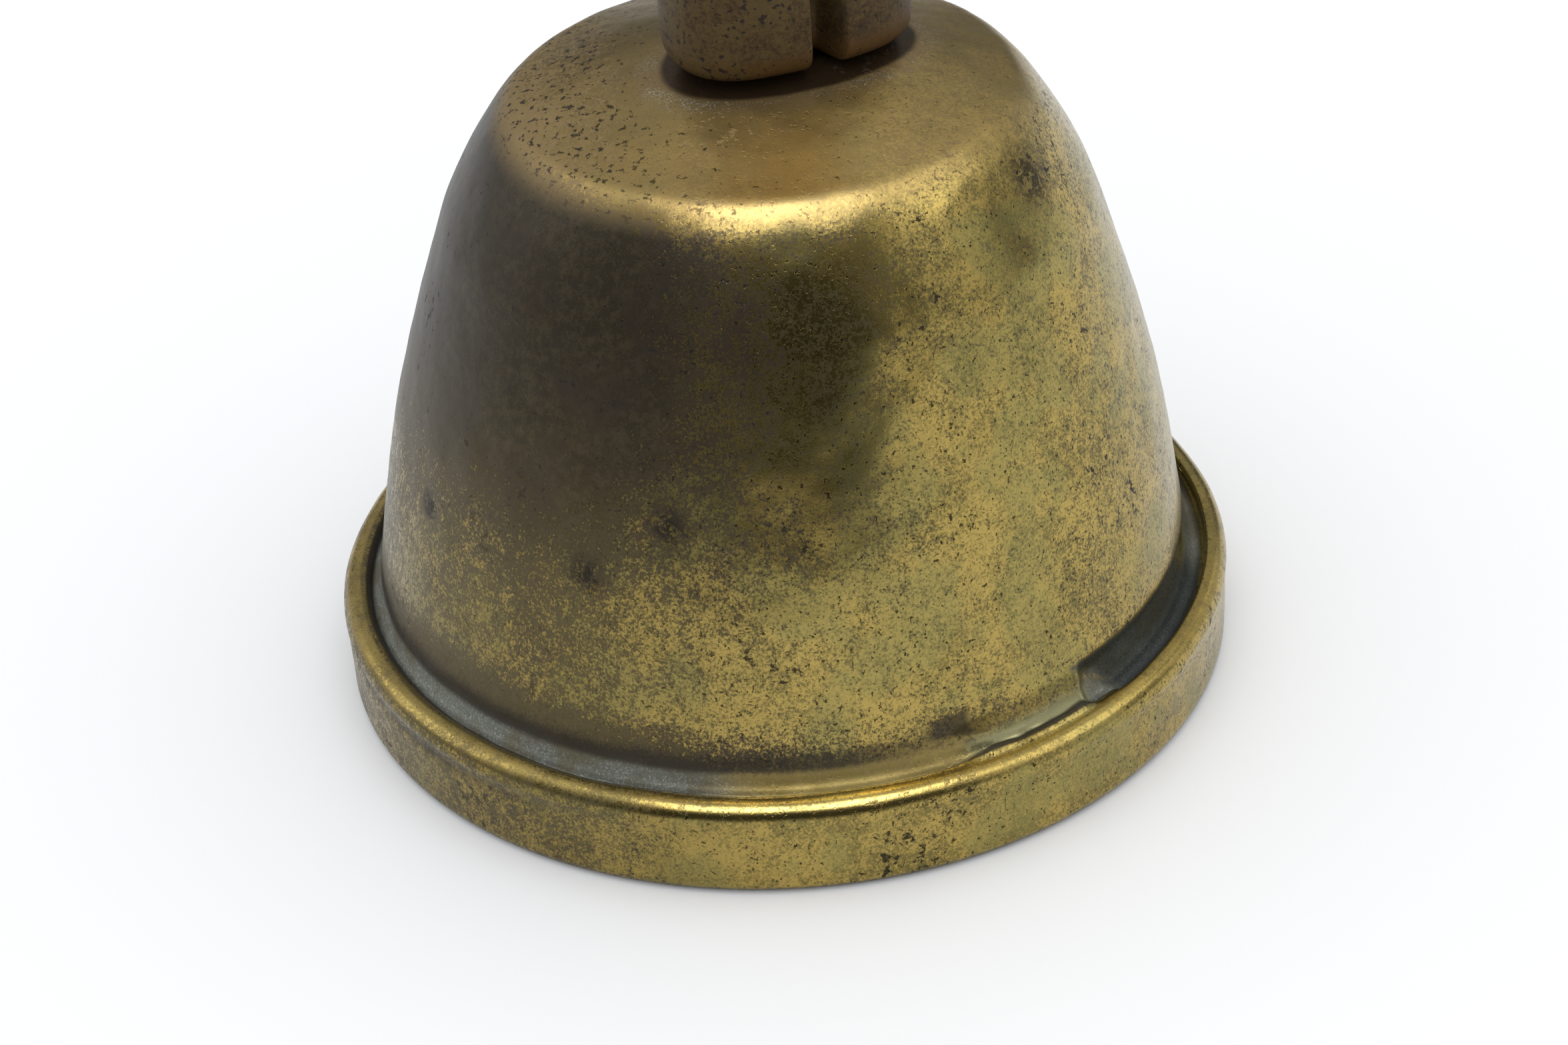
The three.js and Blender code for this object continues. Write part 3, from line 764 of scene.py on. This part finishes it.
rod_low, rod_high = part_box("clapper_rod")
rod_radius, rod_wire, rod_eye = 1.2, 0.8, 2.1
rod_eye_height = rod_high[2] / MM - rod_eye - rod_wire
path, radii = eyed_rod(rod_low[2] / MM, rod_radius, rod_eye_height, rod_eye, rod_wire)
bent_wire("clapper_stem", "clapper_rod", "clapper", path, radii)

# ---------------------------------------------------------------- clapper ball
# A turned brass ball, drilled from above for the rod. It is dull with age, and bright in a belt
# where it strikes the bell.

ball_low, ball_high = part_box("clapper_ball")
ball_size = (ball_high[0] - ball_low[0]) / 2 / MM
ball_height = ball_low[2] / MM + ball_size
hole, hole_floor = 1.5, 6.2
mouth = hole + 0.35
ball_line = evenly([
    [(hole, hole_floor), (hole, ball_height + math.sqrt(ball_size ** 2 - mouth ** 2))],
    arc((0, ball_height), ball_size, math.degrees(math.acos(mouth / ball_size)), -89.5, 60),
], 0.25)
sides = 96
a = np.tile(np.linspace(0, 2 * math.pi, sides, endpoint=False), len(ball_line))
r, h = np.repeat(ball_line[:, 0], sides), np.repeat(ball_line[:, 1], sides)
spots = np.stack([r * np.cos(a), r * np.sin(a), h], 1)
r = r - np.where(r > hole + 0.2, 0.05 + 0.05 * wander(spots, 2.2, 31), 0)
points = np.stack([crown_offset.x + r * np.cos(a), crown_offset.y + r * np.sin(a), h], 1)
points, faces = capped(points, rings_to_faces(len(ball_line), sides), sides,
                       [crown_offset.x, crown_offset.y, ball_line[0, 1]],
                       [crown_offset.x, crown_offset.y, ball_line[-1, 1]])
clapper_ball = mesh_piece("clapper_ball_turned", points * MM, faces)


def clapper_finish():
    place, surface = finish_of("struck_clapper_brass")
    z = place.in_mm()[2]
    belt = (z - ball_height).math("ABSOLUTE").rises(2.6, 0.8)
    film = 0.52 + 0.4 * (place.cloud(3.5, 3.0) - 0.5) - 0.3 * belt
    return surface(*worn_brass(place, film, FITTING_GOLD, HANDLE_OLIVE, 0.4, 0.8))


clapper_ball.data.materials.append(clapper_finish())
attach(clapper_ball, "clapper")
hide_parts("clapper_ball")

# ---------------------------------------------------------------- studio
# A plain pale table top under an even white sky, with soft windows and panels that show only as
# reflections in the brass.

COOL_WHITE = (0.86, 0.87, 0.88)
PLAIN_WHITE = (0.90, 0.90, 0.90)
CLOTH_BLACK = (0.02, 0.02, 0.02, 1)

table = mesh_piece("table_top", [(-3, -3, 0), (3, -3, 0), (3, 3, 0), (-3, 3, 0)], [(0, 1, 2, 3)])
table.location.z = -0.02 * MM
place, surface = finish_of("white_table")
table.data.materials.append(surface(place.cloud(400, 3.0).between(COOL_WHITE, PLAIN_WHITE), 0.6))


bell_middle = Vector((0, 0, 0.03))


def soft_light(name, spot, size, power):
    """A rectangular soft light at a place, in metres, turned to face the bell."""
    lamp = bpy.data.lights.new(name, "AREA")
    lamp.shape = "RECTANGLE"
    lamp.size, lamp.size_y = size
    lamp.energy = power
    lamp_object = bpy.data.objects.new(name, lamp)
    lamp_object.location = spot
    lamp_object.rotation_euler = (bell_middle - Vector(spot)).to_track_quat("-Z", "Y").to_euler()
    lamp_object.visible_camera = lamp_object.visible_diffuse = False
    bpy.context.collection.objects.link(lamp_object)


soft_light("ceiling_window", (-0.02, -0.36, 0.92), (0.72, 0.58), 9.6)
soft_light("ceiling_panel", (-0.1, -0.22, 1.05), (2.1, 0.62), 2.4)
soft_light("ceiling_back", (0.0, 0.34, 1.15), (2.4, 0.75), 3.6)
soft_light("right_window", (0.95, -0.40, 0.42), (0.85, 0.8), 1.4)
soft_light("right_high", (0.80, -0.10, 0.85), (0.7, 0.7), 2.6)
soft_light("right_back", (0.87, 0.45, 0.28), (0.8, 0.6), 0.9)
soft_light("left_back", (-0.87, 0.45, 0.28), (0.8, 0.6), 0.6)
soft_light("left_high", (-0.85, 0.26, 0.60), (0.7, 0.6), 2.0)
soft_light("back_wall", (0.0, 1.0, 0.9), (2.4, 1.0), 3.2)
soft_light("left_window", (-0.95, -0.05, 0.45), (0.6, 0.6), 0.6)
soft_light("front_card", (0.1, -0.75, 0.06), (1.6, 0.14), 0.36)

# A flag of dark cloth stands in front of the bell. Only the brass's reflections show it: it makes
# the middle of the wall dark.
flag_left, flag_right, flag_front, flag_height = -0.30, 0.20, -0.36, 0.27
flag = mesh_piece("dark_flag", [(flag_left, flag_front, 0), (flag_right, flag_front, 0),
                                (flag_right, flag_front, flag_height),
                                (flag_left, flag_front, flag_height)], [(0, 1, 2, 3)])
place, surface = finish_of("dark_cloth")
flag.data.materials.append(surface(CLOTH_BLACK, 0.9))
flag.visible_camera = flag.visible_shadow = flag.visible_diffuse = False

world = bpy.data.worlds.new("room")
bpy.context.scene.world = world
world.use_nodes = True
sky = Shade(world.node_tree)
seen, in_gloss = (sky.node("LightPath", output=i) for i in (0, 3))
backdrop = world.node_tree.nodes["Background"]
backdrop.inputs["Color"].default_value = (0.97, 0.98, 1.0, 1)
# The room lights the table evenly, looks white where the camera sees it, and is dark in the brass.
world.node_tree.links.new((1.22 - 0.24 * seen - 1.16 * in_gloss).socket, backdrop.inputs["Strength"])

camera_data = bpy.data.cameras.new("camera")
camera_data.lens, camera_data.sensor_width = 80, 36
camera_data.clip_start = 0.01
camera = bpy.data.objects.new("camera", camera_data)
camera_place = Vector((0, -0.2304, 0.1611))
pitch, roll, aim_right = math.radians(33.4), math.radians(-4.0), 0.0007
forward = Vector((aim_right, math.cos(pitch), -math.sin(pitch))).normalized()
level = forward.cross(Vector((0, 0, 1))).normalized()
upward = level.cross(forward)
right = math.cos(roll) * level + math.sin(roll) * upward
top = -math.sin(roll) * level + math.cos(roll) * upward
camera.matrix_world = Matrix((
    (right.x, top.x, -forward.x, camera_place.x),
    (right.y, top.y, -forward.y, camera_place.y),
    (right.z, top.z, -forward.z, camera_place.z),
    (0, 0, 0, 1),
))
bpy.context.collection.objects.link(camera)
bpy.context.scene.camera = camera
bpy.context.scene.view_settings.view_transform = "Standard"
